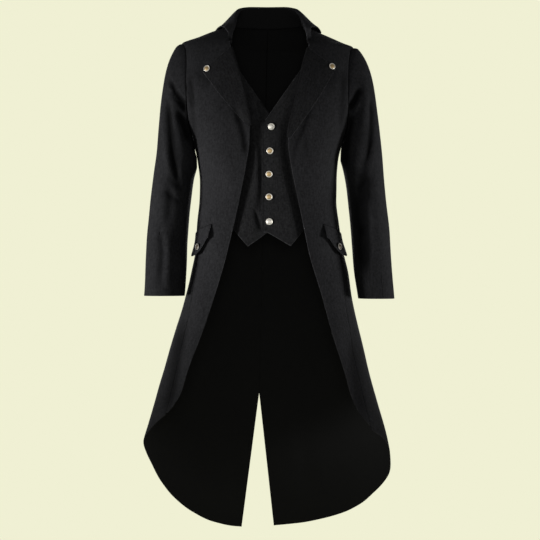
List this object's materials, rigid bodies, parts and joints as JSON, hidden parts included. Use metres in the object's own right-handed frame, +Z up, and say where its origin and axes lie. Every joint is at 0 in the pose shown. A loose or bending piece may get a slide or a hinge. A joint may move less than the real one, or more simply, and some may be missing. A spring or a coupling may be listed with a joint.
{
  "type": "tailcoat",
  "caption": "Long cutaway tailcoat in black cloth, with a waistcoat front sewn inside, turned-back lapels, a standing collar, pocket flaps and brass snaps, shaped as worn.",
  "frame": {"origin": "on the midline between the wearer's shoulders, halfway up the slope of the shoulder seams", "axes": "+Z up along the wearer's body, the coat faces -Y, the wearer's left is +X"},
  "size_m": [0.6249, 0.3418, 1.3433],
  "materials": {
    "coat_cloth": "black twill, soft and matte",
    "lapel_cloth": "black twill over a stiffener, pressed",
    "waistcoat_cloth": "black twill, soft and matte",
    "snap_brass": "aged brass, satin, worn bright on the dome"
  },
  "bodies": {
    "root": {"front_right": "coat_cloth", "front_left": "coat_cloth", "back_right": "coat_cloth", "back_left": "coat_cloth", "top_sleeve_right": "coat_cloth", "top_sleeve_left": "coat_cloth", "under_sleeve_right": "coat_cloth", "under_sleeve_left": "coat_cloth", "flap_right": "coat_cloth", "flap_left": "coat_cloth", "lapel_right": "lapel_cloth", "lapel_left": "lapel_cloth", "collar": "coat_cloth", "waistcoat_right": "waistcoat_cloth", "waistcoat_left": "waistcoat_cloth", "waistcoat_snap_1": "snap_brass", "waistcoat_snap_2": "snap_brass", "waistcoat_snap_3": "snap_brass", "waistcoat_snap_4": "snap_brass", "waistcoat_snap_5": "snap_brass", "lapel_snap_right": "snap_brass", "lapel_snap_left": "snap_brass", "flap_snap_right": "snap_brass", "flap_snap_left": "snap_brass"}
  },
  "joints": []
}
